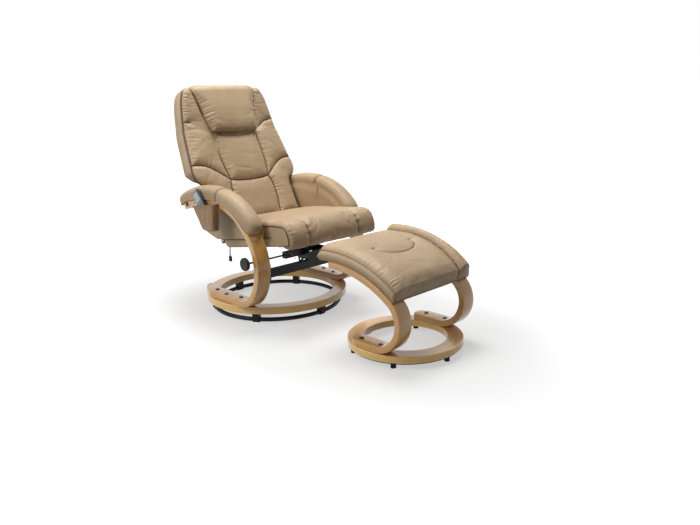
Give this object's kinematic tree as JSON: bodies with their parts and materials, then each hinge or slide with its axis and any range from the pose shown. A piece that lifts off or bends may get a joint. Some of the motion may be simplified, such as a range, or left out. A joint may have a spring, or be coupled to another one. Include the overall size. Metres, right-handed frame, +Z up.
{
  "type": "reclining massage chair",
  "caption": "Swivelling massage recliner with bent wood arms on a ring base, sewn leather cushions, a side pouch with a handset, and a matching free-standing ottoman.",
  "frame": {"origin": "middle of the footprint of the chair and its ottoman, on the floor", "axes": "+Z up, -Y the way the sitter faces, towards the ottoman, +X towards the sitter's left"},
  "size_m": [0.682, 1.4928, 1.015],
  "materials": {
    "black_steel": "satin",
    "beech": "satin",
    "tan_leather": "satin",
    "black_plastic": "matt",
    "black_rubber": "matt",
    "zinc_steel": "satin",
    "spring_steel": "satin",
    "webbing": "matt",
    "foam": "matt",
    "handset_plastic": "gloss",
    "screen": "gloss",
    "key_plastic": "gloss",
    "plywood": "matt"
  },
  "bodies": {
    "floor_base": {"floor_ring": "black_steel", "floor_pads": "black_rubber"},
    "chair_frame": {"wood_ring": "beech", "glide_blocks": "black_plastic", "glide_screws": "zinc_steel", "arm_right": "beech", "arm_left": "beech", "arm_bolts_right": "black_steel", "arm_bolts_left": "black_steel", "cross_beam": "black_steel", "beam_end_plates": "black_steel", "beam_screws": "zinc_steel", "guide_bracket": "black_steel", "clamp_tube": "black_steel", "clamp_bushes": "black_plastic", "clamp_nut": "zinc_steel", "arm_pad_right": "tan_leather", "arm_pad_left": "tan_leather", "arm_panel_right": "tan_leather", "arm_panel_left": "tan_leather", "recline_bolts": "black_steel", "pouch": "tan_leather", "pouch_screws": "zinc_steel"},
    "knob": {"knob": "black_plastic", "knob_rod": "black_steel"},
    "back": {"back_core": "foam", "back_shell": "tan_leather", "back_frame": "black_steel", "back_pivot_plates": "black_steel", "back_webbing": "webbing", "massage_motors": "black_plastic", "centre_pad": "tan_leather", "wing_pads": "tan_leather", "lumbar_pad": "tan_leather", "headrest_pillow": "tan_leather"},
    "seat": {"seat_casing": "tan_leather", "seat_frame": "black_steel", "seat_springs": "spring_steel", "seat_cushion": "tan_leather", "slide_plates": "black_steel", "seat_hinge_plates": "black_steel", "hinge_pins": "zinc_steel", "control_box": "black_plastic", "pigtail_wire_front": "black_rubber", "pigtail_wire_rear": "black_rubber", "pigtail_connector": "black_plastic"},
    "handset": {"handset_shell": "handset_plastic", "handset_screen": "screen"},
    "power_key": {"key_power": "key_plastic"},
    "mode_key": {"key_mode": "key_plastic"},
    "level_key": {"key_level": "key_plastic"},
    "ottoman": {"ottoman_ring": "beech", "ottoman_strip": "black_plastic", "ottoman_glides": "black_rubber", "ottoman_leg_right": "beech", "ottoman_leg_left": "beech", "ottoman_bolts": "black_steel", "ottoman_board": "plywood", "ottoman_cushion": "tan_leather"}
  },
  "joints": [
    {"name": "swivel", "type": "hinge", "parent": "floor_base", "child": "chair_frame", "pos_m": [0.011, 0.32861, 0.046], "axis": [0, 0, 1], "continuous": true},
    {"name": "knob_turn", "type": "hinge", "parent": "chair_frame", "child": "knob", "pos_m": [-0.329, 0.09361, 0.297], "axis": [1, 0, 0], "range_deg": [0, 180]},
    {"name": "recline", "type": "hinge", "parent": "chair_frame", "child": "back", "pos_m": [0.011, 0.55286, 0.49244], "axis": [-1, 0, 0], "range_deg": [0, 20]},
    {"name": "seat_link", "type": "hinge", "parent": "back", "child": "seat", "pos_m": [0.011, 0.42861, 0.325], "axis": [-1, 0, 0], "range_deg": [-20, 0]},
    {"name": "handset_lift", "type": "slide", "parent": "chair_frame", "child": "handset", "axis": [0, 0.6428, 0.766], "range_m": [0, 0.12]},
    {"name": "power_press", "type": "slide", "parent": "handset", "child": "power_key", "axis": [1, 0, 0], "range_m": [0, 0.0008], "stiffness_N_per_m": 400},
    {"name": "mode_press", "type": "slide", "parent": "handset", "child": "mode_key", "axis": [1, 0, 0], "range_m": [0, 0.0008], "stiffness_N_per_m": 400},
    {"name": "level_press", "type": "slide", "parent": "handset", "child": "level_key", "axis": [1, 0, 0], "range_m": [0, 0.0008], "stiffness_N_per_m": 400},
    {"name": "ottoman_slide", "type": "slide", "parent": "floor_base", "child": "ottoman", "axis": [0, -1, 0], "range_m": [0, 0.4]}
  ],
  "couplings": [
    {"joint": "seat_link", "follows": "recline", "ratio": -1}
  ]
}
